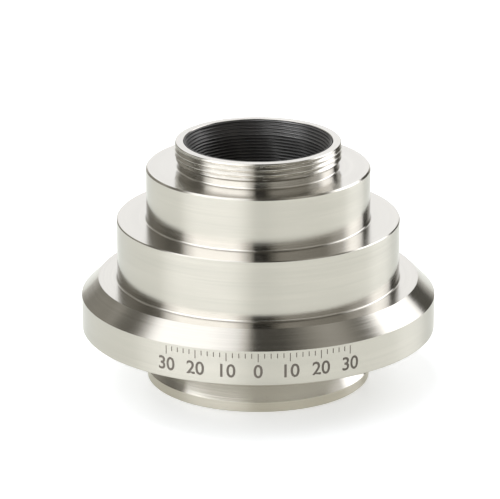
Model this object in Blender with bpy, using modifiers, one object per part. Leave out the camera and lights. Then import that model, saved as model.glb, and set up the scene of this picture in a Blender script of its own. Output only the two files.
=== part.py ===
"""Microscope camera adapter with reducing optics.

A bright turned steel body steps out from a threaded camera ring, over two plain cylinders,
to a bevelled flange, and ends below in a dovetail foot that drops into the microscope's
photo tube. A black sleeve lines the camera side. A black lens cell with two cemented
doublets is screwed in from the foot side and locked by a slotted ring.

All lengths are in metres, +Z is up along the optical axis, and the origin is at the middle
of the foot's lower face, on which the adapter stands.
"""

import math

import bpy

MM = 0.001

# Camera thread ring: the 1 inch, 32 turns an inch thread that the camera screws on to.
CAMERA_THREAD_DIAMETER = 25.4 * MM
THREADED_LENGTH = 2.9 * MM
UNDERCUT_WIDTH = 1.1 * MM
UNDERCUT_DEPTH = 0.4 * MM
RIM_EDGE_BREAK = 0.15 * MM
RING_WALL = 1.35 * MM

# The two plain cylinders below it, each wider than the one above by twice its shoulder.
UPPER_SHOULDER_WIDTH = 4.45 * MM
UPPER_STEP_HEIGHT = 8.15 * MM
LOWER_SHOULDER_WIDTH = 4.55 * MM
LOWER_STEP_HEIGHT = 9.45 * MM
UPPER_EDGE_CHAMFER = 0.25 * MM
LOWER_EDGE_CHAMFER = 0.15 * MM
ROOT_FILLET = 0.4 * MM

# Flange: a flat ledge, a wide 45 degree bevel, and the plain band below it.
FLANGE_LEDGE_WIDTH = 2.9 * MM
FLANGE_BEVEL = 2.6 * MM
FLANGE_BAND_HEIGHT = 5.35 * MM
FLANGE_EDGE_BREAK = 0.15 * MM

# Dovetail foot: a neck, a cone that widens downwards, and a short land.
FOOT_DIAMETER = 34.4 * MM
FOOT_LAND_HEIGHT = 1.6 * MM
FOOT_EDGE_CHAMFER = 0.2 * MM
DOVETAIL_DEPTH = 2.3 * MM
DOVETAIL_ANGLE = math.radians(30)
NECK_HEIGHT = 2.57 * MM
NECK_WALL = 2.0 * MM
FOOT_RECESS_DEPTH = 2.2 * MM
BORE_ENTRY_CHAMFER = 0.4 * MM

# Black sleeve in the camera side, its mouth opened at 45 degrees up to a narrow land at the rim.
SLEEVE_WALL = 0.75 * MM
SLEEVE_RIM_LAND = 0.12 * MM

# Lens cell and the rings that hold it and its lenses.
CELL_WALL = 1.8 * MM
CELL_LIP_WIDTH = 1.6 * MM
CELL_LIP_THICKNESS = 1.5 * MM
RETAINING_RING_THICKNESS = 2.0 * MM
RETAINING_RING_WIDTH = 1.5 * MM
LOCK_RING_THICKNESS = 1.8 * MM
LOCK_RING_WIDTH = 2.0 * MM
SPANNER_SLOT_WIDTH = 1.5 * MM
SPANNER_SLOT_DEPTH = 0.8 * MM
SPACER_WALL = 0.9 * MM

# Lenses: radii of curvature, thickness at the edge of a crown and at the middle of a flint.
REAR_TOP_CURVE = 60.0 * MM
REAR_CEMENTED_CURVE = 24.0 * MM
REAR_BOTTOM_CURVE = 34.0 * MM
FRONT_TOP_CURVE = 80.0 * MM
FRONT_CEMENTED_CURVE = 26.0 * MM
FRONT_BOTTOM_CURVE = 38.0 * MM
CROWN_EDGE_THICKNESS = 1.0 * MM
FLINT_MIDDLE_THICKNESS = 1.4 * MM
AIR_GAP = 0.5 * MM

# Clearances: between turned pieces one inside the other, and between faces that seat.
SLIP_FIT = 0.1 * MM
SEAT_GAP = 0.05 * MM

# Facets round the axis, and chords in an arc.
BODY_FACETS = 80
INNER_FACETS = 60
LENS_FACETS = 48
FILLET_CHORDS = 3
LENS_CHORDS = 4

# Radii of the body's outside, from the camera ring down.
thread_radius = CAMERA_THREAD_DIAMETER / 2
undercut_radius = thread_radius - UNDERCUT_DEPTH
upper_radius = thread_radius + UPPER_SHOULDER_WIDTH
lower_radius = upper_radius + LOWER_SHOULDER_WIDTH
ledge_radius = lower_radius + FLANGE_LEDGE_WIDTH
flange_radius = ledge_radius + FLANGE_BEVEL
foot_radius = FOOT_DIAMETER / 2
neck_radius = foot_radius - DOVETAIL_DEPTH

# Heights of its faces, from the foot up.
dovetail_top = FOOT_LAND_HEIGHT + DOVETAIL_DEPTH / math.tan(DOVETAIL_ANGLE)
flange_bottom = dovetail_top + NECK_HEIGHT
bevel_bottom = flange_bottom + FLANGE_BAND_HEIGHT
flange_top = bevel_bottom + FLANGE_BEVEL
lower_top = flange_top + LOWER_STEP_HEIGHT
upper_top = lower_top + UPPER_STEP_HEIGHT
rim_top = upper_top + UNDERCUT_WIDTH + THREADED_LENGTH

# Radii of what fits in the body, each from the wall round it.
sleeve_bore_radius = thread_radius - RING_WALL
sleeve_radius = sleeve_bore_radius - SLIP_FIT
sleeve_inner_radius = sleeve_radius - SLEEVE_WALL
cell_bore_radius = neck_radius - NECK_WALL
cell_radius = cell_bore_radius - SLIP_FIT
lens_bore_radius = cell_radius - CELL_WALL
lens_radius = lens_bore_radius - SLIP_FIT


def sagitta(curve, half_width=None):
    """How far a spherical surface rises from its edge, at half_width from the axis, to its middle."""
    half_width = lens_radius if half_width is None else half_width
    return curve - math.sqrt(curve**2 - half_width**2)


def flint_edge(top_curve, cemented_curve):
    """Edge thickness of a flint whose two surfaces both bulge upwards."""
    return FLINT_MIDDLE_THICKNESS + sagitta(cemented_curve) - sagitta(top_curve)


def seat_rise(curve, contact_radius):
    """How far a lens surface at the contact radius stands out past the lens's edge."""
    return sagitta(curve) - sagitta(curve, contact_radius)


# Inner radii of what the lenses lie against, and the spacer that keeps their middles apart.
lip_radius = lens_bore_radius - CELL_LIP_WIDTH
spacer_inner_radius = lens_radius - SPACER_WALL
retaining_inner_radius = lens_radius - RETAINING_RING_WIDTH
spacer_length = (
    sagitta(REAR_BOTTOM_CURVE, spacer_inner_radius)
    + sagitta(FRONT_TOP_CURVE, spacer_inner_radius)
    + AIR_GAP
)

# Heights inside, stacked from the recess in the foot up to the face that the cell seats on.
lock_ring_top = FOOT_RECESS_DEPTH + LOCK_RING_THICKNESS
cell_bottom = lock_ring_top + SEAT_GAP
retaining_ring_top = cell_bottom + RETAINING_RING_THICKNESS
front_crown_edge = retaining_ring_top + SEAT_GAP + seat_rise(FRONT_BOTTOM_CURVE, retaining_inner_radius)
front_flint_edge = front_crown_edge + CROWN_EDGE_THICKNESS + SEAT_GAP
front_top_edge = front_flint_edge + flint_edge(FRONT_TOP_CURVE, FRONT_CEMENTED_CURVE)
spacer_bottom = front_top_edge + seat_rise(FRONT_TOP_CURVE, spacer_inner_radius) + SEAT_GAP
spacer_top = spacer_bottom + spacer_length
rear_crown_edge = spacer_top + SEAT_GAP + seat_rise(REAR_BOTTOM_CURVE, spacer_inner_radius)
rear_flint_edge = rear_crown_edge + CROWN_EDGE_THICKNESS + SEAT_GAP
rear_top_edge = rear_flint_edge + flint_edge(REAR_TOP_CURVE, REAR_CEMENTED_CURVE)
cell_lip_bottom = rear_top_edge + seat_rise(REAR_TOP_CURVE, lip_radius) + SEAT_GAP
cell_top = cell_lip_bottom + CELL_LIP_THICKNESS
cell_seat = cell_top + SEAT_GAP


def clear_scene():
    """Remove everything that the scene holds."""
    for obj in list(bpy.data.objects):
        bpy.data.objects.remove(obj, do_unlink=True)


def make_collection(name, hidden=False):
    """A collection of the scene, left out of the render if hidden."""
    collection = bpy.data.collections.new(name)
    collection.hide_render = hidden
    bpy.context.scene.collection.children.link(collection)
    return collection


def make_material(name, colour, roughness, metallic=0.0, transmission=0.0):
    """A Principled material of one linear colour."""
    material = bpy.data.materials.new(name)
    material.use_nodes = True
    shader = material.node_tree.nodes["Principled BSDF"]
    shader.inputs["Base Color"].default_value = (*colour, 1.0)
    shader.inputs["Roughness"].default_value = roughness
    shader.inputs["Metallic"].default_value = metallic
    shader.inputs["Transmission Weight"].default_value = transmission
    material.diffuse_color = (*colour, 1.0)
    return material


def arc(centre, radius, start, end, chords):
    """Points of a circular arc in the profile plane, from the start angle to the end angle in degrees."""
    points = []
    for step in range(chords + 1):
        angle = math.radians(start + (end - start) * step / chords)
        points.append((centre[0] + radius * math.cos(angle), centre[1] + radius * math.sin(angle)))
    return points


def root_fillet(wall_radius, face_height):
    """The hollow fillet where a vertical wall runs down on to a face that looks up."""
    centre = (wall_radius + ROOT_FILLET, face_height + ROOT_FILLET)
    return arc(centre, ROOT_FILLET, 180, 270, FILLET_CHORDS)


def neck_fillet(wall_radius, face_height):
    """The hollow fillet where a face that looks down runs in to a vertical wall below it."""
    centre = (wall_radius + ROOT_FILLET, face_height - ROOT_FILLET)
    return arc(centre, ROOT_FILLET, 90, 180, FILLET_CHORDS)


def turned(name, profile, facets, material, collection, closed=True):
    """A solid turned about Z from a profile of (radius, height) points, down its outer side first.

    A closed profile makes a ring. An open one starts and ends on the axis.
    """
    mesh = bpy.data.meshes.new(name)
    edges = [(i, i + 1) for i in range(len(profile) - 1)]
    if closed:
        edges.append((len(profile) - 1, 0))
    mesh.from_pydata([(radius, 0.0, height) for radius, height in profile], edges, [])
    obj = bpy.data.objects.new(name, mesh)
    collection.objects.link(obj)
    screw = obj.modifiers.new("turn", "SCREW")
    screw.axis = "Z"
    screw.angle = math.tau
    screw.steps = facets
    screw.render_steps = facets
    screw.use_merge_vertices = True
    screw.merge_threshold = 1e-6
    bpy.context.view_layer.update()
    graph = bpy.context.evaluated_depsgraph_get()
    solid = bpy.data.meshes.new_from_object(obj.evaluated_get(graph))
    obj.modifiers.clear()
    obj.data = solid
    bpy.data.meshes.remove(mesh)
    solid.name = name
    solid.materials.clear()
    solid.materials.append(material)
    solid.shade_smooth()
    solid.set_sharp_from_angle(angle=math.radians(25))
    return obj


def body_profile():
    """The steel body's section: down the outside from the rim, in under the foot, and up the bore."""
    outside = [
        (thread_radius - RIM_EDGE_BREAK, rim_top),
        (thread_radius, rim_top - RIM_EDGE_BREAK),
        (thread_radius, rim_top - THREADED_LENGTH + UNDERCUT_DEPTH),
        (undercut_radius, rim_top - THREADED_LENGTH),
        *root_fillet(undercut_radius, upper_top),
        (upper_radius - UPPER_EDGE_CHAMFER, upper_top),
        (upper_radius, upper_top - UPPER_EDGE_CHAMFER),
        *root_fillet(upper_radius, lower_top),
        (lower_radius - LOWER_EDGE_CHAMFER, lower_top),
        (lower_radius, lower_top - LOWER_EDGE_CHAMFER),
        *root_fillet(lower_radius, flange_top),
        (ledge_radius, flange_top),
        (flange_radius, bevel_bottom),
        (flange_radius, flange_bottom + FLANGE_EDGE_BREAK),
        (flange_radius - FLANGE_EDGE_BREAK, flange_bottom),
    ]
    foot = [
        *neck_fillet(neck_radius, flange_bottom),
        (neck_radius, dovetail_top),
        (foot_radius, FOOT_LAND_HEIGHT),
        (foot_radius, FOOT_EDGE_CHAMFER),
        (foot_radius - FOOT_EDGE_CHAMFER, 0.0),
    ]
    bore = [
        (cell_bore_radius + BORE_ENTRY_CHAMFER, 0.0),
        (cell_bore_radius, BORE_ENTRY_CHAMFER),
        (cell_bore_radius, cell_seat),
        (sleeve_bore_radius, cell_seat),
        (sleeve_bore_radius, rim_top),
    ]
    return outside + foot + bore


def sleeve_profile():
    """The black sleeve's section: flush with the rim above, just clear of the lens cell below."""
    bottom = cell_seat + SEAT_GAP
    mouth_radius = sleeve_radius - SLEEVE_RIM_LAND
    return [
        (sleeve_radius, rim_top),
        (sleeve_radius, bottom),
        (sleeve_inner_radius, bottom),
        (sleeve_inner_radius, rim_top - (mouth_radius - sleeve_inner_radius)),
        (mouth_radius, rim_top),
    ]


def cell_profile():
    """The lens cell's section: a tube with a lip at its top that the rear doublet lies against."""
    return [
        (cell_radius, cell_top),
        (cell_radius, cell_bottom),
        (lens_bore_radius, cell_bottom),
        (lens_bore_radius, cell_lip_bottom),
        (lip_radius, cell_lip_bottom),
        (lip_radius + CELL_LIP_THICKNESS / 2, cell_top),
    ]


def ring_profile(outer_radius, inner_radius, bottom, top):
    """The square section of a plain ring."""
    return [(outer_radius, top), (outer_radius, bottom), (inner_radius, bottom), (inner_radius, top)]


def lens_surface(edge_height, curve, bulge):
    """Points from the axis out to the lens's edge on a spherical surface that bulges up (1) or down (-1)."""
    points = []
    for step in range(LENS_CHORDS + 1):
        radius = lens_radius * step / LENS_CHORDS
        height = edge_height + bulge * (sagitta(curve) - sagitta(curve, radius))
        points.append((radius, height))
    return points


def lens_profile(bottom_edge, thickness, top_curve, bottom_curve, bottom_bulge):
    """A lens's open section: out over its top, which bulges up, down its edge and in under it."""
    top = lens_surface(bottom_edge + thickness, top_curve, 1)
    bottom = lens_surface(bottom_edge, bottom_curve, bottom_bulge)
    return top + bottom[::-1]


def make_crown(name, bottom_edge, cemented_curve, bottom_curve, material, collection):
    """The lower lens of a doublet: it bulges on both sides."""
    profile = lens_profile(bottom_edge, CROWN_EDGE_THICKNESS, cemented_curve, bottom_curve, -1)
    return turned(name, profile, LENS_FACETS, material, collection, closed=False)


def make_flint(name, bottom_edge, top_curve, cemented_curve, material, collection):
    """The upper lens of a doublet: it sits on the crown's bulge like a bowl turned over."""
    thickness = flint_edge(top_curve, cemented_curve)
    profile = lens_profile(bottom_edge, thickness, top_curve, cemented_curve, 1)
    return turned(name, profile, LENS_FACETS, material, collection, closed=False)


def cut_spanner_slots(ring, outer_radius, bottom, cutters):
    """Cut one slot across the ring's lower face, on both sides of the hole, for a two-pin spanner."""
    bpy.ops.mesh.primitive_cube_add(size=1.0)
    cutter = bpy.context.object
    cutter.name = ring.name + "_slot_cutter"
    reach = 2 * outer_radius + 2 * SPANNER_SLOT_WIDTH
    for vertex in cutter.data.vertices:
        vertex.co.x *= reach
        vertex.co.y *= SPANNER_SLOT_WIDTH
        vertex.co.z = vertex.co.z * 2 * SPANNER_SLOT_DEPTH + bottom
    for collection in list(cutter.users_collection):
        collection.objects.unlink(cutter)
    cutters.objects.link(cutter)
    cutter.hide_render = True
    cutter.display_type = "WIRE"
    cut = ring.modifiers.new("spanner_slots", "BOOLEAN")
    cut.operation = "DIFFERENCE"
    cut.object = cutter


def main():
    clear_scene()
    parts = make_collection("microscope_camera_adapter")
    cutters = make_collection("cutters", hidden=True)

    steel = make_material("turned_steel", (0.62, 0.60, 0.56), 0.22, metallic=1.0)
    black = make_material("black_anodised_aluminium", (0.012, 0.012, 0.013), 0.45, metallic=0.6)
    brass = make_material("blackened_brass", (0.020, 0.018, 0.016), 0.5, metallic=0.6)
    crown_glass = make_material("crown_glass", (0.96, 0.98, 0.97), 0.02, transmission=1.0)
    flint_glass = make_material("flint_glass", (0.95, 0.96, 0.93), 0.02, transmission=1.0)

    turned("adapter_body", body_profile(), BODY_FACETS, steel, parts)
    turned("baffle_sleeve", sleeve_profile(), INNER_FACETS, black, parts)
    turned("lens_cell", cell_profile(), INNER_FACETS, black, parts)

    make_crown(
        "rear_crown_lens", rear_crown_edge, REAR_CEMENTED_CURVE, REAR_BOTTOM_CURVE, crown_glass, parts
    )
    make_flint("rear_flint_lens", rear_flint_edge, REAR_TOP_CURVE, REAR_CEMENTED_CURVE, flint_glass, parts)
    make_crown(
        "front_crown_lens", front_crown_edge, FRONT_CEMENTED_CURVE, FRONT_BOTTOM_CURVE, crown_glass, parts
    )
    make_flint(
        "front_flint_lens", front_flint_edge, FRONT_TOP_CURVE, FRONT_CEMENTED_CURVE, flint_glass, parts
    )

    spacer = ring_profile(lens_radius, spacer_inner_radius, spacer_bottom, spacer_top)
    turned("lens_spacer", spacer, LENS_FACETS, black, parts)

    retaining = ring_profile(lens_radius, retaining_inner_radius, cell_bottom, retaining_ring_top)
    retaining_ring = turned("retaining_ring", retaining, LENS_FACETS, brass, parts)
    cut_spanner_slots(retaining_ring, lens_radius, cell_bottom, cutters)

    lock = ring_profile(cell_radius, cell_radius - LOCK_RING_WIDTH, FOOT_RECESS_DEPTH, lock_ring_top)
    lock_ring = turned("lock_ring", lock, INNER_FACETS, brass, parts)
    cut_spanner_slots(lock_ring, cell_radius, FOOT_RECESS_DEPTH, cutters)


main()
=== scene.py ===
"""Looks of a microscope camera adapter with reducing optics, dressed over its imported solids.

The adapter stands on its foot, with the optical axis along +Z and the origin at the middle of
the foot's lower face. Every turned piece is a section carried round that axis, worked out with
numpy, so the threads, fillets and lens curves have their real forms. All lengths are in metres.
"""

import logging
import math
from abc import ABC, abstractmethod
from dataclasses import dataclass, field
from enum import Enum

import bmesh
import bpy
import numpy as np
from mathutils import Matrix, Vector

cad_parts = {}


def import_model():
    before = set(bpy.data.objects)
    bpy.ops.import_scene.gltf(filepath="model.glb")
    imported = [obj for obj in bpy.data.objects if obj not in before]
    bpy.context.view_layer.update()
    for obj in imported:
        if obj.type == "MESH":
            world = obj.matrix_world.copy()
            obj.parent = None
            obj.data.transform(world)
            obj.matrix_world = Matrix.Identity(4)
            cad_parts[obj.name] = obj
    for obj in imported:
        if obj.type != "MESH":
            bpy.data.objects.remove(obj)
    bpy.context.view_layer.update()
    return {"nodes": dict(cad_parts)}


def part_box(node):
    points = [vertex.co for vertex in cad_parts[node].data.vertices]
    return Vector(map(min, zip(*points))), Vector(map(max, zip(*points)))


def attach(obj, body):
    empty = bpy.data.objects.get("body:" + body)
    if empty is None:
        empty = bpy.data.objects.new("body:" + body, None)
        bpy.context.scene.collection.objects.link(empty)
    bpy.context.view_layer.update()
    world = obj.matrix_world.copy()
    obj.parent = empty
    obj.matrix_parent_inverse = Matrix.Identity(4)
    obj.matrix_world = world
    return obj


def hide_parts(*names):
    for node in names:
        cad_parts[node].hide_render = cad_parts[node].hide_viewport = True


MM = 0.001
MICRON = 1e-6
TURN = 2 * math.pi
ROOT_BODY = "root"
# Edges that turn by more than this are drawn crisp.
SHARP_ANGLE = math.radians(28)
# Blender's noise keeps mostly to the first range, and the sum of two of them to the second.
NOISE_RANGE = (0.3, 0.7)
NOISE_SUM_RANGE = (0.7, 1.3)

log = logging.getLogger("adapter")

Array = np.ndarray
Colour = tuple[float, float, float]
Range = tuple[float, float]
Piece = bpy.types.Object
Material = bpy.types.Material
Socket = bpy.types.NodeSocket
Tree = bpy.types.NodeTree


def linear(code: str) -> Colour:
    """Turn an sRGB hex code into linear red, green and blue.

    Args:
        code: six hex digits, with or without a leading hash.

    Returns:
        The three linear values, each from 0 to 1.
    """
    digits = code.lstrip("#")
    values = [int(digits[place : place + 2], 16) / 255 for place in (0, 2, 4)]
    return tuple(v / 12.92 if v <= 0.04045 else ((v + 0.055) / 1.055) ** 2.4 for v in values)


def opaque(code: str) -> tuple[float, float, float, float]:
    """Turn an sRGB hex code into a linear colour for a shader's socket."""
    return (*linear(code), 1.0)


class Slot(Enum):
    """Names of the record's material slots, one for each finish."""

    STEEL = "turned_steel"
    BLACK = "black_anodised_aluminium"
    BRASS = "blackened_brass"
    CROWN = "crown_glass"
    FLINT = "flint_glass"


class Bulge(Enum):
    """Which way a lens surface bulges from its edge."""

    UP = 1
    DOWN = -1


def put(name: str, data: bpy.types.ID) -> Piece:
    """Make an object of a mesh, lamp or camera and put it in the scene.

    Args:
        name: the object's name.
        data: what it holds.

    Returns:
        The object, at the origin.
    """
    obj = bpy.data.objects.new(name, data)
    bpy.context.scene.collection.objects.link(obj)
    return obj


# Sections and surfaces


def points(*pairs: tuple[float, float]) -> Array:
    """Return (radius, height) pairs as an array of rows."""
    return np.array(pairs, float).reshape(-1, 2)


def arc(centre: tuple[float, float], radius: float, start: float, end: float, chords: int = 8) -> Array:
    """Work out points along a circular arc in the section's plane.

    A point is the centre plus the radius times the cosine and sine of an angle that runs
    evenly from start to end.

    Args:
        centre: (radius, height) of the arc's centre.
        radius: the arc's own radius.
        start: first angle in degrees, from the outward direction towards up.
        end: last angle in degrees.
        chords: number of straight pieces.

    Returns:
        An array of (radius, height) rows.
    """
    angles = np.radians(np.linspace(start, end, chords + 1))
    return np.column_stack((centre[0] + radius * np.cos(angles), centre[1] + radius * np.sin(angles)))


def guarded(section: Array, reach: float = 0.03 * MM, closed: bool = True) -> Array:
    """Add a point close to both ends of each long straight stretch of a section.

    The new points lie on the stretch, at the given reach from each end, so that smooth shading
    turns only inside the narrow strips next to a corner or fillet and the flats stay flat.

    Args:
        section: (radius, height) rows.
        reach: distance of a new point from the end.
        closed: whether the last row joins the first.

    Returns:
        The section with the added rows.
    """
    ends = np.roll(section, -1, axis=0)
    steps = ends - section
    lengths = np.hypot(steps[:, 0], steps[:, 1])
    wanted = lengths > 4 * reach
    if not closed:
        wanted[-1] = False
    share = np.divide(reach, lengths, out=np.zeros_like(lengths), where=wanted)[:, None]
    near = section + steps * share
    far = ends - steps * share
    stacked = np.stack((section, near, far), axis=1).reshape(-1, 2)
    keep = np.column_stack((np.ones_like(wanted), wanted, wanted)).ravel()
    return stacked[keep]


def thread_form(phase: Array, crest: float, root: float) -> Array:
    """Height of a truncated V thread, from 0 at its root to 1 at its crest.

    The height is 1 over the crest's flat, 0 over the root's flat, and straight between them.

    Args:
        phase: place along the axis in pitches, with a whole number at the middle of a crest.
        crest: width of the crest's flat, in pitches.
        root: width of the root's flat, in pitches.

    Returns:
        The height at each phase.
    """
    off_crest = np.abs((phase + 0.5) % 1.0 - 0.5)
    flank = 0.5 - (crest + root) / 2
    return 1 - np.clip((off_crest - crest / 2) / flank, 0, 1)


def smooth_step(value: Array, low: float, high: float) -> Array:
    """Rise from 0 at low to 1 at high, with a level start and end."""
    share = np.clip((value - low) / (high - low), 0, 1)
    return share * share * (3 - 2 * share)


def even_turns(columns: int) -> Array:
    """Return angles spaced evenly round the axis, in radians."""
    return np.arange(columns) * TURN / columns


def revolve(name: str, radius: Array, height: Array, turn: Array, closed: bool = True) -> Piece:
    """Carry a section round the axis and make it a mesh object.

    The surface is a function of two parameters, the row along the section and the turn round
    the axis: x is the radius times the turn's cosine, y the radius times its sine, and z the
    height. An open section starts and ends on the axis, and each end row becomes one point.

    Args:
        name: the piece's name.
        radius: radius of each row, or of each row and column.
        height: height of each row, or of each row and column.
        turn: angle of each column, or of each row and column.
        closed: whether the last row joins the first.

    Returns:
        The new object, at the origin, with a UV map of arc length by turn.
    """
    rows, columns = len(radius), turn.shape[-1]
    radius = np.broadcast_to(radius.reshape(rows, -1), (rows, columns))
    height = np.broadcast_to(height.reshape(rows, -1), (rows, columns))
    grid = np.stack((radius * np.cos(turn), radius * np.sin(turn), height), axis=2)
    index = np.arange(rows * columns).reshape(rows, columns)
    steps = np.hypot(np.diff(radius[:, 0]), np.diff(height[:, 0]))
    along = np.concatenate(((0.0,), np.cumsum(steps)))
    body = index if closed else index[1:-1]
    upper = body if closed else body[:-1]
    lower = np.roll(body, -1, axis=0) if closed else body[1:]
    quads = np.stack(
        (upper, lower, np.roll(lower, -1, axis=1), np.roll(upper, -1, axis=1)), axis=2
    ).reshape(-1, 4)
    faces = quads.tolist()
    if not closed:
        first, last = index[0, 0], index[-1, 0]
        top, bottom = index[1], index[-2]
        faces += np.column_stack((np.full(columns, first), top, np.roll(top, -1))).tolist()
        faces += np.column_stack((bottom, np.full(columns, last), np.roll(bottom, -1))).tolist()
        used = np.concatenate(((first,), body.ravel(), (last,)))
        renumber = np.zeros(rows * columns, int)
        renumber[used] = np.arange(len(used))
        faces = [[int(renumber[corner]) for corner in face] for face in faces]
        vertices = grid.reshape(-1, 3)[used]
        place = along[used // columns]
        spot = (used % columns) / columns
    else:
        vertices = grid.reshape(-1, 3)
        place = along[index.ravel() // columns]
        spot = (index.ravel() % columns) / columns
    mesh = bpy.data.meshes.new(name)
    mesh.from_pydata(vertices.tolist(), [], faces)
    corners = np.zeros(len(mesh.loops), np.int32)
    mesh.loops.foreach_get("vertex_index", corners)
    uv = mesh.uv_layers.new(name="section")
    flat = np.column_stack((place[corners] / MM, spot[corners])).astype(np.float32)
    uv.data.foreach_set("uv", flat.ravel())
    mesh.shade_smooth()
    mesh.set_sharp_from_angle(angle=SHARP_ANGLE)
    return put(name, mesh)


def plain_ring(name: str, columns: int, *pairs: tuple[float, float]) -> Piece:
    """Turn a closed section given as (radius, height) pairs, with straight sides between them."""
    section = guarded(points(*pairs))
    return revolve(name, section[:, 0], section[:, 1], even_turns(columns))


def merge_close(mesh: bpy.types.Mesh, distance: float = 0.1 * MICRON) -> None:
    """Merge a mesh's corners that fall on the same spot, where rows were lifted on to each other.

    Args:
        mesh: the mesh, which is changed in place.
        distance: how far apart two corners may be and still count as one.
    """
    work = bmesh.new()
    work.from_mesh(mesh)
    bmesh.ops.remove_doubles(work, verts=work.verts, dist=distance)
    work.to_mesh(mesh)
    work.free()


def settle(obj: Piece, material: Material, slot: Slot, *nodes: str) -> Piece:
    """Dress a piece, let it ride on the body and hide the solids that it stands for.

    Args:
        obj: the piece.
        material: its finish, unless it has one already.
        slot: the record's material slot; not used.
        nodes: the solids that it replaces.

    Returns:
        The same piece.
    """
    if not obj.data.materials:
        obj.data.materials.append(material)
    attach(obj, ROOT_BODY)
    if nodes:
        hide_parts(*nodes)
    log.info("%s: %d faces", obj.name, len(obj.data.polygons))
    return obj


# Finishes


def feed(tree: Tree, node: bpy.types.Node, inputs: dict) -> None:
    """Set or link a node's inputs.

    Args:
        tree: the node tree.
        node: the node.
        inputs: socket name or number to a value, or to the output socket that feeds it.
    """
    for key, value in inputs.items():
        if isinstance(value, Socket):
            tree.links.new(value, node.inputs[key])
        else:
            node.inputs[key].default_value = value


def add(tree: Tree, kind: str, inputs: dict | None = None, **settings: object) -> bpy.types.Node:
    """Add a node with its settings and links.

    Args:
        tree: the node tree.
        kind: the node's type name.
        inputs: socket name or number to a value, or to the output socket that feeds it.
        settings: properties of the node itself.

    Returns:
        The new node.
    """
    node = tree.nodes.new(kind)
    for key, value in settings.items():
        setattr(node, key, value)
    feed(tree, node, inputs or {})
    return node


def maths(tree: Tree, operation: str, *values: float | Socket) -> Socket:
    """Return a Math node's result for the given numbers and sockets."""
    return add(tree, "ShaderNodeMath", dict(enumerate(values)), operation=operation).outputs[0]


def noise(tree: Tree, place: Socket, scale: float = 1.0, detail: float = 2.0) -> Socket:
    """Return a noise's strength at a place."""
    inputs = {"Vector": place, "Scale": scale, "Detail": detail}
    return add(tree, "ShaderNodeTexNoise", inputs).outputs["Fac"]


def object_place(tree: Tree) -> Socket:
    """Return the place in the object's own coordinates."""
    return add(tree, "ShaderNodeTexCoord").outputs["Object"]


def bump(tree: Tree, height: Socket, depth: float, under: Socket | None = None) -> Socket:
    """Tilt the normal by a pattern.

    Args:
        tree: the material's node tree.
        height: the pattern.
        depth: how far the surface rises where the pattern is 1.
        under: the normal to start from, if not the surface's own.

    Returns:
        The tilted normal.
    """
    inputs = {"Height": height, "Distance": depth, "Strength": 1.0}
    if under is not None:
        inputs["Normal"] = under
    return add(tree, "ShaderNodeBump", inputs).outputs[0]


def carry(tree: Tree, value: Socket, start: Range, end: Range = (0.0, 1.0), **settings: str) -> Socket:
    """Carry a value from one range to another and keep it within that.

    Args:
        tree: the node tree.
        value: the value.
        start: the range that it comes from.
        end: the range that it goes to.
        settings: properties of the node itself.

    Returns:
        The new value.
    """
    inputs = {"Value": value, "From Min": start[0], "From Max": start[1], "To Min": end[0], "To Max": end[1]}
    return add(tree, "ShaderNodeMapRange", inputs, **settings).outputs[0]


def around(middle: float, spread: float) -> Range:
    """Return the range that reaches a spread to each side of a middle."""
    return middle - spread, middle + spread


def blend(tree: Tree, share: Socket, first: str | Socket, second: str | Socket) -> Socket:
    """Mix two colours.

    Args:
        tree: the node tree.
        share: how much of the second colour is taken.
        first: a hex code, or the socket that gives the colour.
        second: the same for the other colour.

    Returns:
        The mixed colour.
    """
    colours = [opaque(colour) if isinstance(colour, str) else colour for colour in (first, second)]
    inputs = {"Factor": share, "A": colours[0], "B": colours[1]}
    return add(tree, "ShaderNodeMix", inputs, data_type="RGBA").outputs["Result"]


def new_material(name: str) -> tuple[Material, Tree, bpy.types.Node]:
    """Make a material with one Principled shader.

    Args:
        name: the material's name.

    Returns:
        The material, its node tree and the shader.
    """
    material = bpy.data.materials.new(name)
    material.use_nodes = True
    tree = material.node_tree
    tree.nodes.clear()
    shader = add(tree, "ShaderNodeBsdfPrincipled")
    add(tree, "ShaderNodeOutputMaterial", {"Surface": shader.outputs["BSDF"]})
    return material, tree, shader


@dataclass(frozen=True)
class LatheLines:
    """Places on a turned piece, told by radius, height and a slow drift round the axis."""

    drift: float = 0.6

    def build(self, tree: Tree, spacing: float) -> Socket:
        """Give a pattern vector whose unit is the tool lines' spacing.

        Args:
            tree: the material's node tree.
            spacing: real distance between two lines.

        Returns:
            The vector: radius and height in spacings, and a slow drift round the axis.
        """
        split = add(tree, "ShaderNodeSeparateXYZ", {0: object_place(tree)})
        flat = add(tree, "ShaderNodeCombineXYZ", {0: split.outputs[0], 1: split.outputs[1]})
        radius = add(tree, "ShaderNodeVectorMath", {0: flat.outputs[0]}, operation="LENGTH")
        side = add(tree, "ShaderNodeVectorMath", {0: flat.outputs[0]}, operation="NORMALIZE")
        round_axis = add(tree, "ShaderNodeSeparateXYZ", {0: side.outputs[0]})
        across = maths(tree, "MULTIPLY", radius.outputs["Value"], 1 / spacing)
        up = maths(tree, "MULTIPLY", split.outputs[2], 1 / spacing)
        slow = maths(tree, "MULTIPLY", round_axis.outputs[0], self.drift)
        return add(tree, "ShaderNodeCombineXYZ", {0: across, 1: up, 2: slow}).outputs[0]


class Finish(ABC):
    """A surface that pieces share, made as a material with one Principled shader."""

    @abstractmethod
    def inputs(self, tree: Tree) -> dict:
        """Say what feeds the shader.

        Args:
            tree: the material's node tree, to which the patterns are added.

        Returns:
            Socket name to a value, or to the output socket that feeds it.
        """

    def build(self, name: str) -> Material:
        """Make the material.

        Args:
            name: the real material and how its surface was made.

        Returns:
            The material.
        """
        material, tree, shader = new_material(name)
        feed(tree, shader, self.inputs(tree))
        return material


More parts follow.
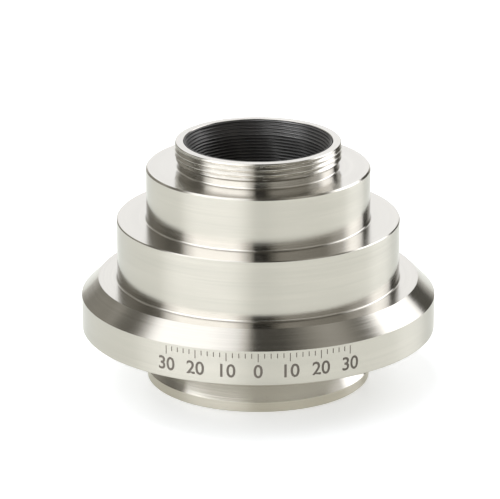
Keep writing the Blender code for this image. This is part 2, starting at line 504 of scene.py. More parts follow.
@dataclass(frozen=True)
class TurnedSteel(Finish):
    """Stainless steel turned with a sharp tool: bright, with reflections drawn out across its lines."""

    colour: str = "#CDCAC4"
    darkest_tone: float = 0.92
    edge_colour: str = "#EEEFF1"
    roughness: float = 0.13
    roughness_spread: float = 0.02
    anisotropy: float = 1.0
    anisotropy_turn: float = 0.25
    fine_spacing: float = 0.2 * MM
    broad_spacing: float = 1.6 * MM
    broad_drift: float = 1.5
    line_depth: float = 0.5 * MICRON
    wave_depth: float = 1.0 * MICRON

    def inputs(self, tree: Tree) -> dict:
        """Say what feeds the shader. Real tool lines are finer than a pixel and are drawn coarser.

        Args:
            tree: the material's node tree.

        Returns:
            Socket name to its value or source.
        """
        lines = noise(tree, LatheLines().build(tree, self.fine_spacing))
        waves = noise(tree, LatheLines(self.broad_drift).build(tree, self.broad_spacing), detail=3.0)
        fine = bump(tree, lines, self.line_depth)
        both = maths(tree, "ADD", lines, waves)
        tone = carry(tree, both, NOISE_SUM_RANGE, (self.darkest_tone, 1.0))
        tint = add(tree, "ShaderNodeVectorMath", {0: linear(self.colour), "Scale": tone}, operation="SCALE")
        tangent = add(tree, "ShaderNodeTangent", direction_type="RADIAL", axis="Z")
        return {
            "Base Color": tint.outputs[0],
            "Metallic": 1.0,
            "Specular Tint": opaque(self.edge_colour),
            "Roughness": carry(tree, lines, NOISE_RANGE, around(self.roughness, self.roughness_spread)),
            "Anisotropic": self.anisotropy,
            "Anisotropic Rotation": self.anisotropy_turn,
            "Tangent": tangent.outputs[0],
            "Normal": bump(tree, waves, self.wave_depth, fine),
        }


@dataclass(frozen=True)
class BlackAnodised(Finish):
    """Aluminium, turned and black anodised: a dark, dull sheen with faint tool lines."""

    colour: str = "#2E2D2D"
    refraction: float = 1.76
    roughness: float = 0.36
    roughness_spread: float = 0.06
    line_spacing: float = 0.15 * MM
    line_drift: float = 2.0
    line_depth: float = 0.8 * MICRON

    def inputs(self, tree: Tree) -> dict:
        """Return what feeds the shader."""
        lines = noise(tree, LatheLines(self.line_drift).build(tree, self.line_spacing), detail=3.0)
        return {
            "Base Color": opaque(self.colour),
            "IOR": self.refraction,
            "Roughness": carry(tree, lines, NOISE_RANGE, around(self.roughness, self.roughness_spread)),
            "Normal": bump(tree, lines, self.line_depth),
        }


@dataclass(frozen=True)
class BlackenedBrass(Finish):
    """Brass turned and blackened with a chemical: warm black, thin at the edges."""

    colour: str = "#1D1A17"
    worn_colour: str = "#4A3B22"
    worn_range: tuple[float, float] = (0.55, 0.8)
    metallic: float = 0.5
    roughness: float = 0.5
    patch: float = 1.2 * MM

    def inputs(self, tree: Tree) -> dict:
        """Return what feeds the shader."""
        worn = carry(tree, noise(tree, object_place(tree), 1 / self.patch, detail=4.0), self.worn_range)
        return {
            "Base Color": blend(tree, worn, self.colour, self.worn_colour),
            "Metallic": self.metallic,
            "Roughness": self.roughness,
        }


@dataclass(frozen=True)
class CoatedGlass(Finish):
    """Optical glass, ground and polished, with a thin coating that tints its reflections.

    The coating's thickness is in nanometres.
    """

    refraction: float
    tint: str
    haze: float = 0.02
    haze_patch: float = 3 * MM
    coating_thickness: float = 135.0
    coating_refraction: float = 1.38

    def inputs(self, tree: Tree) -> dict:
        """Return what feeds the shader."""
        cloud = noise(tree, object_place(tree), 1 / self.haze_patch)
        return {
            "Base Color": opaque(self.tint),
            "IOR": self.refraction,
            "Roughness": carry(tree, cloud, NOISE_RANGE, (0.0, self.haze)),
            "Transmission Weight": 1.0,
            "Thin Film Thickness": self.coating_thickness,
            "Thin Film IOR": self.coating_refraction,
        }


@dataclass(frozen=True)
class EdgePaint(Finish):
    """Matt black lacquer brushed on a lens's ground edge, which keeps stray light down."""

    colour: str = "#0D0D0E"
    roughness: float = 0.7
    grit: float = 0.12 * MM
    grit_depth: float = 4 * MICRON

    def inputs(self, tree: Tree) -> dict:
        """Return what feeds the shader."""
        return {
            "Base Color": opaque(self.colour),
            "Roughness": self.roughness,
            "Normal": bump(tree, noise(tree, object_place(tree), 1 / self.grit), self.grit_depth),
        }


@dataclass(frozen=True)
class LaserMark(Finish):
    """Steel darkened by a marking laser: a flat, dull, warm grey with a fine grain."""

    colour: str = "#6E675F"
    pale_colour: str = "#7D766D"
    roughness: float = 0.75
    grain: float = 0.12 * MM

    def inputs(self, tree: Tree) -> dict:
        """Return what feeds the shader."""
        speckle = noise(tree, object_place(tree), 1 / self.grain)
        return {
            "Base Color": blend(tree, speckle, self.colour, self.pale_colour),
            "Roughness": self.roughness,
        }


@dataclass(frozen=True)
class Finishes:
    """Every finish of the adapter, each made once and shared by the pieces that have it."""

    steel: Material
    black: Material
    brass: Material
    crown: Material
    flint: Material
    paint: Material
    mark: Material

    @classmethod
    def build(cls) -> "Finishes":
        """Make all the materials."""
        return cls(
            steel=TurnedSteel().build("stainless_steel_turned"),
            black=BlackAnodised().build("aluminium_black_anodised"),
            brass=BlackenedBrass().build("brass_blackened"),
            crown=CoatedGlass(1.517, "#F8FCFA").build("glass_crown_coated"),
            flint=CoatedGlass(1.620, "#FBFCF6").build("glass_flint_coated"),
            paint=EdgePaint().build("lacquer_matt_black"),
            mark=LaserMark().build("steel_laser_marked"),
        )


# Sub-assemblies


@dataclass
class SteelBody:
    """The one-piece turned body, from the threaded camera ring down to the dovetail foot."""

    thread_radius: float = 12.7 * MM
    thread_pitch: float = 25.4 * MM / 32
    thread_depth: float = 0.315 * MM
    thread_crest: float = 0.1
    thread_root: float = 0.02
    threaded_length: float = 2.9 * MM
    thread_start: float = 0.32 * MM
    undercut_width: float = 1.1 * MM
    undercut_depth: float = 0.4 * MM
    rim_edge_break: float = 0.15 * MM
    ring_wall: float = 1.35 * MM
    upper_shoulder: float = 4.45 * MM
    upper_height: float = 8.15 * MM
    lower_shoulder: float = 4.55 * MM
    lower_height: float = 9.45 * MM
    upper_chamfer: float = 0.25 * MM
    lower_chamfer: float = 0.15 * MM
    fillet: float = 0.25 * MM
    ledge: float = 2.9 * MM
    bevel: float = 2.6 * MM
    band_height: float = 5.35 * MM
    band_edge_break: float = 0.15 * MM
    foot_radius: float = 17.2 * MM
    foot_land: float = 1.6 * MM
    foot_chamfer: float = 0.2 * MM
    dovetail_depth: float = 2.3 * MM
    dovetail_angle: float = math.radians(30)
    cell_bore_radius: float = 12.9 * MM
    cell_seat: float = 19.683 * MM
    entry_chamfer: float = 0.4 * MM
    bore_edge_break: float = 0.08 * MM
    skin: float = 0.01 * MM
    columns: int = 320
    rows_a_pitch: int = 24
    rim_top: float = field(init=False)

    def __post_init__(self) -> None:
        """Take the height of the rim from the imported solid."""
        self.rim_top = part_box("adapter_body")[1].z

    @property
    def upper_top(self) -> float:
        """Height of the upper shoulder's face."""
        return self.rim_top - self.undercut_width - self.threaded_length

    @property
    def lower_top(self) -> float:
        """Height of the lower shoulder's face."""
        return self.upper_top - self.upper_height

    @property
    def flange_top(self) -> float:
        """Height of the flange's ledge."""
        return self.lower_top - self.lower_height

    @property
    def band_top(self) -> float:
        """Height of the band's upper edge, under the bevel."""
        return self.flange_top - self.bevel

    @property
    def flange_bottom(self) -> float:
        """Height of the flange's lower face."""
        return self.band_top - self.band_height

    @property
    def flange_radius(self) -> float:
        """Radius of the band, a hair inside the solid so that marks lie on it."""
        widths = self.upper_shoulder + self.lower_shoulder + self.ledge + self.bevel
        return self.thread_radius + widths - self.skin

    @property
    def bore_radius(self) -> float:
        """Radius of the bore that the black sleeve sits in."""
        return self.thread_radius - self.ring_wall

    def root(self, wall: float, face: float) -> Array:
        """Return the hollow fillet where a wall runs down on to a face that looks up."""
        return arc((wall + self.fillet, face + self.fillet), self.fillet, 180, 270)

    def ring_section(self) -> Array:
        """Draw the threaded stretch of the outside, in close rows that can carry the thread.

        Returns:
            Rows of radius and height, from the rim down to the undercut's floor.
        """
        end = self.rim_top - self.threaded_length
        slope_top = end + self.undercut_depth
        count = int(self.threaded_length / self.thread_pitch * self.rows_a_pitch)
        height = np.linspace(self.rim_top, end, count)
        chamfer = self.thread_radius - np.maximum(0, height - (self.rim_top - self.rim_edge_break))
        slope = self.thread_radius - np.maximum(0, slope_top - height)
        return np.column_stack((np.minimum(chamfer, slope), height))

    def outside(self) -> Array:
        """Draw the two cylinders and the flange, with a fillet in each inner corner.

        Returns:
            Rows of radius and height, from under the thread down to the flange's lower face.
        """
        upper = self.thread_radius + self.upper_shoulder
        lower = upper + self.lower_shoulder
        ledge = lower + self.ledge
        flange = self.flange_radius
        return np.vstack(
            (
                self.root(self.thread_radius - self.undercut_depth, self.upper_top),
                points(
                    (upper - self.upper_chamfer, self.upper_top),
                    (upper, self.upper_top - self.upper_chamfer),
                ),
                self.root(upper, self.lower_top),
                points(
                    (lower - self.lower_chamfer, self.lower_top),
                    (lower, self.lower_top - self.lower_chamfer),
                ),
                self.root(lower, self.flange_top),
                points(
                    (ledge, self.flange_top),
                    (flange, self.band_top),
                    (flange, self.flange_bottom + self.band_edge_break),
                    (flange - self.band_edge_break, self.flange_bottom),
                ),
            )
        )

    def foot(self) -> Array:
        """Draw the neck, the dovetail's cone and the foot's land.

        Returns:
            Rows of radius and height, from the flange's lower face down to the foot's.
        """
        neck = self.foot_radius - self.dovetail_depth
        cone_top = self.foot_land + self.dovetail_depth / math.tan(self.dovetail_angle)
        centre = (neck + self.fillet, self.flange_bottom - self.fillet)
        return np.vstack(
            (
                arc(centre, self.fillet, 90, 180),
                points(
                    (neck, cone_top),
                    (self.foot_radius, self.foot_land),
                    (self.foot_radius, self.foot_chamfer),
                    (self.foot_radius - self.foot_chamfer, 0.0),
                ),
            )
        )

    def bore(self) -> Array:
        """Return the section up the bore, from the foot's mouth to the rim."""
        return points(
            (self.cell_bore_radius + self.entry_chamfer, 0.0),
            (self.cell_bore_radius, self.entry_chamfer),
            (self.cell_bore_radius, self.cell_seat),
            (self.bore_radius, self.cell_seat),
            (self.bore_radius, self.rim_top - self.bore_edge_break),
            (self.bore_radius + self.bore_edge_break, self.rim_top),
        )

    def build(self, finishes: Finishes) -> Piece:
        """Make the body: its section turned, with the thread cut into the ring's rows.

        In the ring's rows the radius is the smaller of the plain outline and the thread, whose
        phase is the depth below the rim in pitches plus the share of a turn round the axis.
        The thread gets its full depth a little below the rim, and runs out into the undercut.

        Args:
            finishes: the adapter's materials.

        Returns:
            The body.
        """
        ring = self.ring_section()
        rest = guarded(np.vstack((self.outside(), self.foot(), self.bore())), closed=False)
        section = np.vstack((ring, rest))
        turn = even_turns(self.columns)
        below = (self.rim_top - ring[:, 1])[:, None]
        phase = below / self.thread_pitch + turn[None, :] / TURN
        cut = self.thread_depth * smooth_step(below, 0, self.thread_start)
        thread = self.thread_radius - cut * (1 - thread_form(phase, self.thread_crest, self.thread_root))
        radius = np.repeat(section[:, :1], self.columns, axis=1)
        radius[: len(ring)] = np.minimum(ring[:, :1], thread)
        obj = revolve("turned_body", radius, section[:, 1], turn)
        return settle(obj, finishes.steel, Slot.STEEL, "adapter_body")


@dataclass
class LightTrapSleeve:
    """The black sleeve in the camera side, with a fine thread inside that traps stray light."""

    outer_radius: float = 11.25 * MM
    inner_radius: float = 10.5 * MM
    rim_land: float = 0.12 * MM
    mouth_depth: float = 2.4 * MM
    groove_depth: float = 0.2 * MM
    groove_pitch: float = 0.505 * MM
    groove_start: float = 0.28
    crest_share: float = 0.1
    root_share: float = 0.3
    plain_end: float = 1.0 * MM
    least_wall: float = 0.05 * MM
    columns: int = 256
    rows_a_pitch: int = 12

    def build(self, finishes: Finishes) -> Piece:
        """Make the sleeve as a closed ring whose inner rows carry the thread.

        An inner row's radius is that of the bore, or of its mouth, which opens evenly up to the
        rim, plus the groove's depth there, and it always leaves a thin wall outside it. The
        groove's form has the depth below the rim in pitches plus the share of a turn as its phase.

        Args:
            finishes: the adapter's materials.

        Returns:
            The sleeve.
        """
        low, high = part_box("baffle_sleeve")
        length = high.z - low.z
        count = int(length / self.groove_pitch * self.rows_a_pitch)
        inner_height = np.linspace(low.z, high.z, count)
        below = (high.z - inner_height)[:, None]
        mouth = self.outer_radius - self.rim_land
        opening = np.maximum(0, 1 - below / self.mouth_depth)
        plain = self.inner_radius + (mouth - self.inner_radius) * opening
        turn = even_turns(self.columns)
        phase = below / self.groove_pitch + turn[None, :] / TURN + self.groove_start
        fade = smooth_step(length - below, self.plain_end * 0.5, self.plain_end)
        cut = self.groove_depth * fade * (1 - thread_form(phase, self.crest_share, self.root_share))
        inner = np.minimum(plain + cut, self.outer_radius - self.least_wall)
        outer = guarded(points((self.outer_radius, high.z), (self.outer_radius, low.z)), closed=False)
        radius = np.vstack((np.repeat(outer[:, :1], self.columns, axis=1), inner))
        height = np.concatenate((outer[:, 1], inner_height))
        obj = revolve("light_trap_sleeve", radius, height, turn)
        return settle(obj, finishes.black, Slot.BLACK, "baffle_sleeve")


@dataclass
class LensElement:
    """One lens, with two spherical faces and a blackened edge."""

    node: str
    radius: float
    edge_bottom: float
    edge_top: float
    top_curve: float
    bottom_curve: float
    bottom_bulge: Bulge
    edge_tilt: float = 0.05
    rows: int = 24
    columns: int = 128

    def face(self, edge: float, curve: float, bulge: Bulge) -> Array:
        """Work out a spherical face's section from the axis to the edge.

        The height at a radius is the edge's height plus the bulge's sign times the fall of the
        sphere between that radius and the edge.

        Args:
            edge: height of the face's edge.
            curve: radius of the sphere.
            bulge: which way the face bulges.

        Returns:
            An array of (radius, height) rows.
        """
        radius = np.linspace(0, self.radius, self.rows)
        rise = np.sqrt(curve**2 - radius**2) - math.sqrt(curve**2 - self.radius**2)
        return np.column_stack((radius, edge + bulge.value * rise))

    def build(self, glass: Material, paint: Material, slot: Slot) -> Piece:
        """Make the lens, with its faces in glass and its edge in black lacquer.

        Args:
            glass: the polished glass.
            paint: the edge's lacquer.
            slot: the record's material slot.

        Returns:
            The lens.
        """
        top = self.face(self.edge_top, self.top_curve, Bulge.UP)
        bottom = self.face(self.edge_bottom, self.bottom_curve, self.bottom_bulge)[::-1]
        section = np.vstack((top, bottom))
        turn = even_turns(self.columns)
        obj = revolve(f"{self.node}_polished", section[:, 0], section[:, 1], turn, closed=False)
        obj.data.materials.append(glass)
        obj.data.materials.append(paint)
        count = len(obj.data.polygons)
        normals = np.zeros(count * 3, np.float32)
        obj.data.polygons.foreach_get("normal", normals)
        on_edge = np.abs(normals.reshape(-1, 3)[:, 2]) < self.edge_tilt
        obj.data.polygons.foreach_set("material_index", on_edge.astype(np.int32))
        return settle(obj, glass, slot, self.node)


@dataclass
class SlottedRing:
    """A ring with a slot across its lower face, which a two-pin spanner turns."""

    node: str
    inner_radius: float
    slot_width: float = 1.5 * MM
    slot_depth: float = 0.8 * MM
    edge_break: float = 0.12 * MM
    slot_draft: float = 0.04 * MM
    slot_columns: int = 8
    side_columns: int = 100

    def turns(self, radius: Array) -> Array:
        """Space the columns so that the slot's walls run straight across the ring.

        Near the slot a column keeps its distance from the slot's middle plane, so its angle
        is the arcsine of that distance over the row's radius. Between the slot's two ends the
        angle runs evenly from the last of those columns to the first of the next.

        Args:
            radius: radius of each row.

        Returns:
            The angle of each row and column.
        """
        half = self.slot_width / 2
        within = np.linspace(-half, half, self.slot_columns)
        across = np.concatenate(((-half - self.slot_draft,), within, (half + self.slot_draft,)))
        slot = np.arcsin(across[None, :] / radius[:, None])
        share = np.linspace(0, 1, self.side_columns + 1)[None, 1:-1]
        side = slot[:, -1:] + share * (TURN / 2 - 2 * slot[:, -1:])
        front = np.hstack((slot, side))
        return np.hstack((front, front + TURN / 2))

    def build(self, finishes: Finishes) -> Piece:
        """Make the ring, with its lower rows lifted to the slot's floor inside the slot.

        Args:
            finishes: the adapter's materials.

        Returns:
            The ring.
        """
        low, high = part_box(self.node)
        outer = high.x
        bevel = self.edge_break
        section = guarded(
            points(
                (outer - bevel, high.z),
                (outer, high.z - bevel),
                (outer, low.z + self.slot_depth),
                (outer, low.z + bevel),
                (outer - bevel, low.z),
                (self.inner_radius + bevel, low.z),
                (self.inner_radius, low.z + bevel),
                (self.inner_radius, low.z + self.slot_depth),
                (self.inner_radius, high.z - bevel),
                (self.inner_radius + bevel, high.z),
            )
        )
        turn = self.turns(section[:, 0])
        half_turn = np.arange(turn.shape[1]) % (turn.shape[1] // 2)
        in_slot = (half_turn > 0) & (half_turn <= self.slot_columns)
        floor = low.z + self.slot_depth
        lifted = np.maximum(section[:, 1:], floor)
        height = np.where(in_slot[None, :], lifted, section[:, 1:])
        obj = revolve(f"{self.node}_slotted", section[:, 0], height, turn)
        merge_close(obj.data)
        return settle(obj, finishes.brass, Slot.BRASS, self.node)


@dataclass
class ReducingOptics:
    """The lens cell with its two cemented doublets, the spacer, and the rings that hold them."""

    lens_radius: float = 10.9 * MM
    rear_top_curve: float = 60.0 * MM
    rear_cemented_curve: float = 24.0 * MM
    rear_bottom_curve: float = 34.0 * MM
    front_top_curve: float = 80.0 * MM
    front_cemented_curve: float = 26.0 * MM
    front_bottom_curve: float = 38.0 * MM
    crown_edge: float = 1.0 * MM
    cell_radius: float = 12.8 * MM
    cell_bore: float = 11.0 * MM
    lip_width: float = 1.6 * MM
    lip_thickness: float = 1.5 * MM
    lip_edge: float = 0.2 * MM
    spacer_wall: float = 0.9 * MM
    retaining_ring_bore: float = 9.4 * MM
    lock_ring_bore: float = 10.8 * MM
    columns: int = 200

    def fall(self, curve: float) -> float:
        """Return how far a sphere of the given curve falls from the axis to a lens's edge."""
        return curve - math.sqrt(curve**2 - self.lens_radius**2)

    def crown(self, node: str, cemented: float, bottom: float) -> LensElement:
        """Place a crown by its solid's lowest point and its edge's thickness.

        Args:
            node: the solid's name.
            cemented: radius of its upper face's sphere.
            bottom: radius of its lower face's sphere.

        Returns:
            The lens.
        """
        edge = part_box(node)[0].z + self.fall(bottom)
        return LensElement(
            node, self.lens_radius, edge, edge + self.crown_edge, cemented, bottom, Bulge.DOWN
        )

    def flint(self, node: str, top: float, cemented: float) -> LensElement:
        """Place a flint by its solid's highest point and its lower edge.

        Args:
            node: the solid's name.
            top: radius of its upper face's sphere.
            cemented: radius of its lower face's sphere.

        Returns:
            The lens.
        """
        low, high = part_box(node)
        return LensElement(node, self.lens_radius, low.z, high.z - self.fall(top), top, cemented, Bulge.UP)

    def cell(self, finishes: Finishes) -> Piece:
        """Make the cell: a tube with a lip whose upper side opens towards the camera.

        Args:
            finishes: the adapter's materials.

        Returns:
            The cell.
        """
        low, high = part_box("lens_cell")
        lip = self.cell_bore - self.lip_width
        lip_bottom = high.z - self.lip_thickness
        obj = plain_ring(
            "lens_cell_turned",
            self.columns,
            (self.cell_radius, high.z),
            (self.cell_radius, low.z),
            (self.cell_bore, low.z),
            (self.cell_bore, lip_bottom),
            (lip, lip_bottom),
            (lip, lip_bottom + self.lip_edge),
            (lip + self.lip_thickness / 2, high.z),
        )
        return settle(obj, finishes.black, Slot.BLACK, "lens_cell")

    def spacer(self, finishes: Finishes) -> Piece:
        """Make the plain ring that keeps the two doublets apart.

        Args:
            finishes: the adapter's materials.

        Returns:
            The spacer.
        """
        low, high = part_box("lens_spacer")
        inner = self.lens_radius - self.spacer_wall
        outer = self.lens_radius
        corners = (outer, high.z), (outer, low.z), (inner, low.z), (inner, high.z)
        obj = plain_ring("lens_spacer_turned", self.columns, *corners)
        return settle(obj, finishes.black, Slot.BLACK, "lens_spacer")

    def build(self, finishes: Finishes) -> list[Piece]:
        """Make every piece of the optics.

        Args:
            finishes: the adapter's materials.

        Returns:
            The pieces, from the cell inwards.
        """
        crowns = (
            self.crown("rear_crown_lens", self.rear_cemented_curve, self.rear_bottom_curve),
            self.crown("front_crown_lens", self.front_cemented_curve, self.front_bottom_curve),
        )
        flints = (
            self.flint("rear_flint_lens", self.rear_top_curve, self.rear_cemented_curve),
            self.flint("front_flint_lens", self.front_top_curve, self.front_cemented_curve),
        )
        pieces = [self.cell(finishes), self.spacer(finishes)]
        pieces += [lens.build(finishes.crown, finishes.paint, Slot.CROWN) for lens in crowns]
        pieces += [lens.build(finishes.flint, finishes.paint, Slot.FLINT) for lens in flints]
        pieces.append(SlottedRing("retaining_ring", self.retaining_ring_bore).build(finishes))
        pieces.append(SlottedRing("lock_ring", self.lock_ring_bore).build(finishes))
        return pieces


@dataclass
class DegreeScale:
    """A plain scale of degrees, laser marked on the front of the flange's band."""

    band_radius: float
    band_top: float
    lift: float = 0.006 * MM
    span: int = 30
    tick_step: int = 2
    long_tick_step: int = 10
    tick_width: float = 0.14 * MM
    short_tick: float = 0.75 * MM
    long_tick: float = 1.3 * MM
    tick_gap: float = 0.35 * MM
    digit_height: float = 2.1 * MM
    digit_share: float = 0.73
    digit_boldness: float = 0.02
    digit_gap: float = 0.35 * MM

    def wrap(self, flat: Array) -> Array:
        """Bend flat points on to the band.

        A point's distance to the right becomes an arc of that length round the axis, measured
        from the front, and its height stays.

        Args:
            flat: (right, height) rows.

        Returns:
            The points in space.
        """
        radius = self.band_radius + self.lift
        angle = flat[:, 0] / radius
        return np.column_stack((radius * np.sin(angle), -radius * np.cos(angle), flat[:, 1]))

    def ticks(self) -> tuple[Array, list[list[int]]]:
        """Work out the ticks as upright strips.

        Returns:
            The flat points and the faces.
        """
        angles = np.arange(-self.span, self.span + 1, self.tick_step)
        middle = np.radians(angles) * self.band_radius
        length = np.where(angles % self.long_tick_step == 0, self.long_tick, self.short_tick)
        top = self.band_top - self.tick_gap
        left = middle - self.tick_width / 2
        right = middle + self.tick_width / 2
        corners = np.stack(
            (
                np.column_stack((left, top - length)),
                np.column_stack((right, top - length)),
                np.column_stack((right, np.full(len(middle), top))),
                np.column_stack((left, np.full(len(middle), top))),
            ),
            axis=1,
        )
        faces = np.arange(len(middle) * 4).reshape(-1, 4).tolist()
        return corners.reshape(-1, 2), faces

    def number(self, value: int, angle: int) -> tuple[Array, list[list[int]]]:
        """Work out one number, centred under its tick.

        Args:
            value: the number to show.
            angle: its place round the band, in degrees to the right of the front.

        Returns:
            The flat points and the faces.
        """
        curve = bpy.data.curves.new("number", "FONT")
        curve.body = str(value)
        curve.size = self.digit_height / self.digit_share
        curve.align_x = "CENTER"
        curve.offset = self.digit_boldness * self.digit_height
        carrier = put("number", curve)
        bpy.context.view_layer.update()
        shaped = carrier.evaluated_get(bpy.context.evaluated_depsgraph_get())
        mesh = bpy.data.meshes.new_from_object(shaped)
        flat = np.zeros(len(mesh.vertices) * 3)
        mesh.vertices.foreach_get("co", flat)
        flat = flat.reshape(-1, 3)[:, :2]
        base = self.band_top - self.tick_gap - self.long_tick - self.digit_gap - self.digit_height
        flat = flat + ((math.radians(angle) * self.band_radius, base),)
        faces = [list(polygon.vertices) for polygon in mesh.polygons]
        bpy.data.objects.remove(carrier)
        bpy.data.curves.remove(curve)
        bpy.data.meshes.remove(mesh)
        return flat, faces

    def build(self, finishes: Finishes) -> Piece:
        """Make the scale as one thin piece on the band.

        Args:
            finishes: the adapter's materials.

        Returns:
            The scale.
        """
        parts = [self.ticks()]
        for angle in range(-self.span, self.span + 1, self.long_tick_step):
            parts.append(self.number(abs(angle), angle))
        vertices: list[Array] = []
        faces: list[list[int]] = []
        start = 0
        for flat, part_faces in parts:
            vertices.append(self.wrap(flat))
            faces += [[corner + start for corner in face] for face in part_faces]
            start += len(flat)
        mesh = bpy.data.meshes.new("degree_scale")
        mesh.from_pydata(np.vstack(vertices).tolist(), [], faces)
        return settle(put("degree_scale", mesh), finishes.mark, Slot.STEEL)


# Studio


@dataclass(frozen=True)
class Glow:
    """How bright the studio's wall is at one azimuth, in degrees.

    Azimuth 0 is the camera's side, and +90 is to the right. Between two of these the wall
    changes evenly, so two close together are the edge of a white card or of a dark gap.
    """

    azimuth: float
    level: float


def glows(*pairs: tuple[float, float]) -> tuple[Glow, ...]:
    """Return a row of the wall from (azimuth, level) pairs."""
    return tuple(Glow(*pair) for pair in pairs)


def direction(azimuth: float, elevation: float) -> Vector:
    """Return the way to a place round and above the part, in degrees from the camera's side."""
    turn, rise = math.radians(azimuth), math.radians(elevation)
    return Vector((math.cos(rise) * math.sin(turn), -math.cos(rise) * math.cos(turn), math.sin(rise)))


def face_back(name: str, data: bpy.types.ID, middle: Vector, toward: Vector, distance: float) -> Piece:
    """Put a lamp or a camera at a distance from a point, and turn it to face that point.

    Args:
        name: the object's name.
        data: the lamp or camera.
        middle: the point.
        toward: direction from the point to the object.
        distance: how far away it stands.

    Returns:
        The object.
    """
    obj = put(name, data)
    obj.location = middle + toward * distance
    obj.rotation_mode = "QUATERNION"
    obj.rotation_quaternion = toward.to_track_quat("Z", "Y")
    return obj


@dataclass(frozen=True)
class Softbox:
    """A round softbox that faces the part, by its place round and above it in degrees."""

    name: str
    azimuth: float
    elevation: float
    power: float
    size: float = 0.5
    distance: float = 1.2

    def build(self) -> Piece:
        """Hang the softbox.

        Returns:
            The lamp.
        """
        data = bpy.data.lights.new(self.name, "AREA")
        data.shape = "DISK"
        data.size = self.size
        data.energy = self.power
        toward = direction(self.azimuth, self.elevation)
        return face_back(self.name, data, Vector(), toward, self.distance)


@dataclass
class Studio:
    """A pale floor under soft light from white walls, with dark gaps that draw the metal's form."""

    distance: float = 0.504
    elevation: float = 18.662
    target_height: float = 19.70 * MM
    lens: float = 236.0
    sensor: float = 36.0
    shift_x: float = -0.0164
    shift_y: float = 0.0055
    clip: Range = (0.01, 20.0)
    floor_radius: float = 4.0
    floor_sides: int = 96
    floor_colour: str = "#F4F7FC"
    floor_colour_in_metal: str = "#B7BFC4"
    floor_glow_colour: str = "#FFFFFF"
    floor_glow_colour_in_metal: str = "#FFF7DF"
    floor_roughness: float = 0.38
    floor_glow: float = 0.38
    floor_glow_in_metal: float = 0.47
    brightest: float = 3.2
    white_from: float = 1.3
    dim_colour: str = "#FFFAEC"
    middle_change: Range = (24.0, 36.0)
    top_change: Range = (46.0, 58.0)
    overhead: Softbox = Softbox("studio_softbox", azimuth=-145.0, elevation=70.0, power=4.4)
    low: tuple[Glow, ...] = glows(
        (-180, 1.469), (-166, 1.209), (-157, 0.65), (-146, 0.325), (-134, 0.364), (-120, 0.284),
        (-105, 0.194), (-87, 0.22), (-83.5, 0.761), (-80.5, 1.5), (-76, 2), (-66, 3.042),
        (-27, 3.042), (-20, 2.704), (-8, 0.98), (-3, 0.01), (8, 0.01), (12, 0.152),
        (22, 0.558), (30, 0.625), (73, 0.482), (85, 0.85), (97, 1.05), (100, 1.469),
        (110, 2.8), (121, 2.8), (135, 1.82), (136.5, 0.117), (149, 0.117), (157, 0.676),
        (166, 1.209), (180, 1.456),
    )
    middle: tuple[Glow, ...] = glows(
        (-180, 1.326), (-165, 0.91), (-150, 0.39), (-132, 0.65), (-126, 0.585), (-118, 0.195),
        (-105, 0.156), (-100, 0.65), (-96, 1.43), (-90, 1.846), (-30, 1.82), (-20, 1.3),
        (-12, 0.5), (-4, 0.18), (45, 0.24), (60, 0.312), (72, 0.39), (84, 0.39),
        (97, 0.182), (101, 0.26), (104, 1.04), (110, 2.6), (148, 2.6), (152, 0.65),
        (165, 1.04), (180, 1.326),
    )
    top: tuple[Glow, ...] = glows(
        (-180, 0.169), (-173, 0.169), (-167, 1.95), (-100, 1.95), (-90, 1.69), (-55, 1.664),
        (-42, 1.495), (-30, 1.339), (-23, 1.105), (-15, 0.689), (-8, 0.182), (-2, 0.08),
        (30, 0.09), (42, 0.156), (60, 0.364), (72, 0.507), (84, 0.481), (97, 0.169),
        (180, 0.169),
    )

    def camera(self) -> Piece:
        """Place the camera at the photograph's distance and angle.

        Returns:
            The camera, set as the scene's.
        """
        data = bpy.data.cameras.new("studio_camera")
        data.lens = self.lens
        data.sensor_width = self.sensor
        data.shift_x = self.shift_x
        data.shift_y = self.shift_y
        data.clip_start, data.clip_end = self.clip
        target = Vector((0.0, 0.0, self.target_height))
        obj = face_back("studio_camera", data, target, direction(0.0, self.elevation), self.distance)
        bpy.context.scene.camera = obj
        return obj

    def floor(self) -> Piece:
        """Make the floor, a wide disc of smooth white board that shows white where no shadow falls.

        Its glow is seen by the camera and in the metal, and lights nothing. The camera sees the
        board whiter than the metal does, so that the ground is white and the metal keeps its tone.

        Returns:
            The floor.
        """
        turn = even_turns(self.floor_sides)
        rim = np.column_stack((np.cos(turn), np.sin(turn), np.zeros(self.floor_sides))) * self.floor_radius
        mesh = bpy.data.meshes.new("studio_floor")
        mesh.from_pydata(rim.tolist(), [], [list(range(self.floor_sides))])
        material, tree, board = new_material("board_smooth_white")
        path = add(tree, "ShaderNodeLightPath").outputs
        seen = path["Is Camera Ray"]
        mirrored = maths(tree, "MAXIMUM", path["Is Glossy Ray"], path["Is Transmission Ray"])
        to_metal = maths(tree, "MULTIPLY", mirrored, self.floor_glow_in_metal)
        inputs = {
            "Base Color": blend(tree, seen, self.floor_colour_in_metal, self.floor_colour),
            "Roughness": self.floor_roughness,
            "Emission Color": blend(tree, seen, self.floor_glow_colour_in_metal, self.floor_glow_colour),
            "Emission Strength": maths(tree, "MULTIPLY_ADD", seen, self.floor_glow, to_metal),
        }
        feed(tree, board, inputs)
        mesh.materials.append(material)
        obj = put("studio_floor", mesh)
        return obj

    def tint(self, level: float) -> tuple[float, float, float, float]:
        """Colour the wall at a level: white when bright, and warmer the dimmer it is.

        Args:
            level: brightness of the wall, where 1 is a white wall in plain light.

        Returns:
            The linear colour, as a share of the brightest card.
        """
        dimness = min(max(self.white_from - level, 0.0), 1.0)
        warm = linear(self.dim_colour)
        share = level / self.brightest
        return (*(share * (1 + dimness * (value - 1)) for value in warm), 1.0)

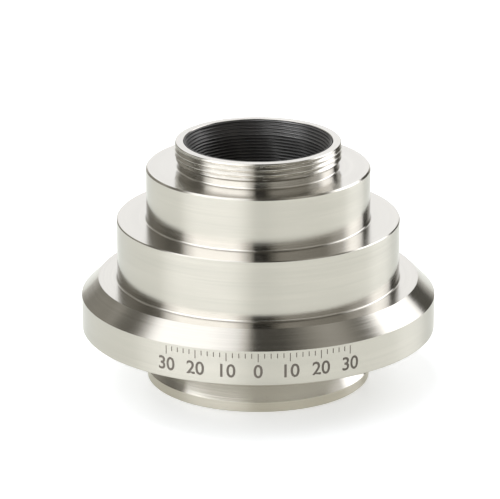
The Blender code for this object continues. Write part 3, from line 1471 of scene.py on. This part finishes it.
    def wall(self, tree: Tree, place: Socket, row: tuple[Glow, ...]) -> Socket:
        """Paint one height of the studio's wall as a colour ramp round it.

        Args:
            tree: the world's node tree.
            place: azimuth as a share of a turn, from 0 behind the object round to 1.
            row: the levels in order of azimuth, from behind round by the left.

        Returns:
            The wall's colour, as a share of the brightest card.
        """
        ramp = add(tree, "ShaderNodeValToRGB", {"Fac": place})
        elements = ramp.color_ramp.elements
        elements.remove(elements[-1])
        elements[0].position = row[0].azimuth / 360 + 0.5
        elements[0].color = self.tint(row[0].level)
        for glow in row[1:]:
            elements.new(glow.azimuth / 360 + 0.5).color = self.tint(glow.level)
        return ramp.outputs["Color"]

    def rise(self, tree: Tree, height: Socket, span: Range) -> Socket:
        """Return a share that rises smoothly from 0 to 1 over a span of elevations in degrees."""
        ends = (math.radians(span[0]), math.radians(span[1]))
        return carry(tree, height, ends, interpolation_type="SMOOTHSTEP")

    def world(self) -> bpy.types.World:
        """Light the scene from all round with the three rows of the wall, one above the other.

        Azimuth and elevation come from the direction of the ray.

        Returns:
            The world.
        """
        world = bpy.data.worlds.new("studio_world")
        world.use_nodes = True
        tree = world.node_tree
        tree.nodes.clear()
        ray = add(tree, "ShaderNodeTexCoord").outputs["Generated"]
        right, back, up = add(tree, "ShaderNodeSeparateXYZ", {0: ray}).outputs
        azimuth = maths(tree, "ARCTAN2", right, maths(tree, "MULTIPLY", back, -1.0))
        place = maths(tree, "MULTIPLY_ADD", azimuth, 1 / TURN, 0.5)
        height = maths(tree, "ARCSINE", up)
        low, middle, top = (self.wall(tree, place, row) for row in (self.low, self.middle, self.top))
        walls = blend(tree, self.rise(tree, height, self.middle_change), low, middle)
        room = blend(tree, self.rise(tree, height, self.top_change), walls, top)
        seen = add(tree, "ShaderNodeBackground", {"Color": (1.0, 1.0, 1.0, 1.0), "Strength": 1.0})
        lit = add(tree, "ShaderNodeBackground", {"Color": room, "Strength": self.brightest})
        path = add(tree, "ShaderNodeLightPath")
        mix = add(
            tree,
            "ShaderNodeMixShader",
            {0: path.outputs["Is Camera Ray"], 1: lit.outputs[0], 2: seen.outputs[0]},
        )
        add(tree, "ShaderNodeOutputWorld", {"Surface": mix.outputs[0]})
        bpy.context.scene.world = world
        return world

    def build(self) -> None:
        """Set up the camera, the floor, the light and plain colour management."""
        self.camera()
        self.floor()
        self.world()
        self.overhead.build()
        bpy.context.scene.view_settings.view_transform = "Standard"


def main() -> None:
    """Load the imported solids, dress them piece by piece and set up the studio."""
    logging.basicConfig(level=logging.INFO, format="%(name)s: %(message)s")
    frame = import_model()
    log.info("solids: %s", ", ".join(sorted(frame["nodes"])))
    finishes = Finishes.build()
    body = SteelBody()
    body.build(finishes)
    LightTrapSleeve().build(finishes)
    ReducingOptics().build(finishes)
    DegreeScale(body.flange_radius, body.band_top).build(finishes)
    Studio().build()


if __name__ == "__main__":
    main()
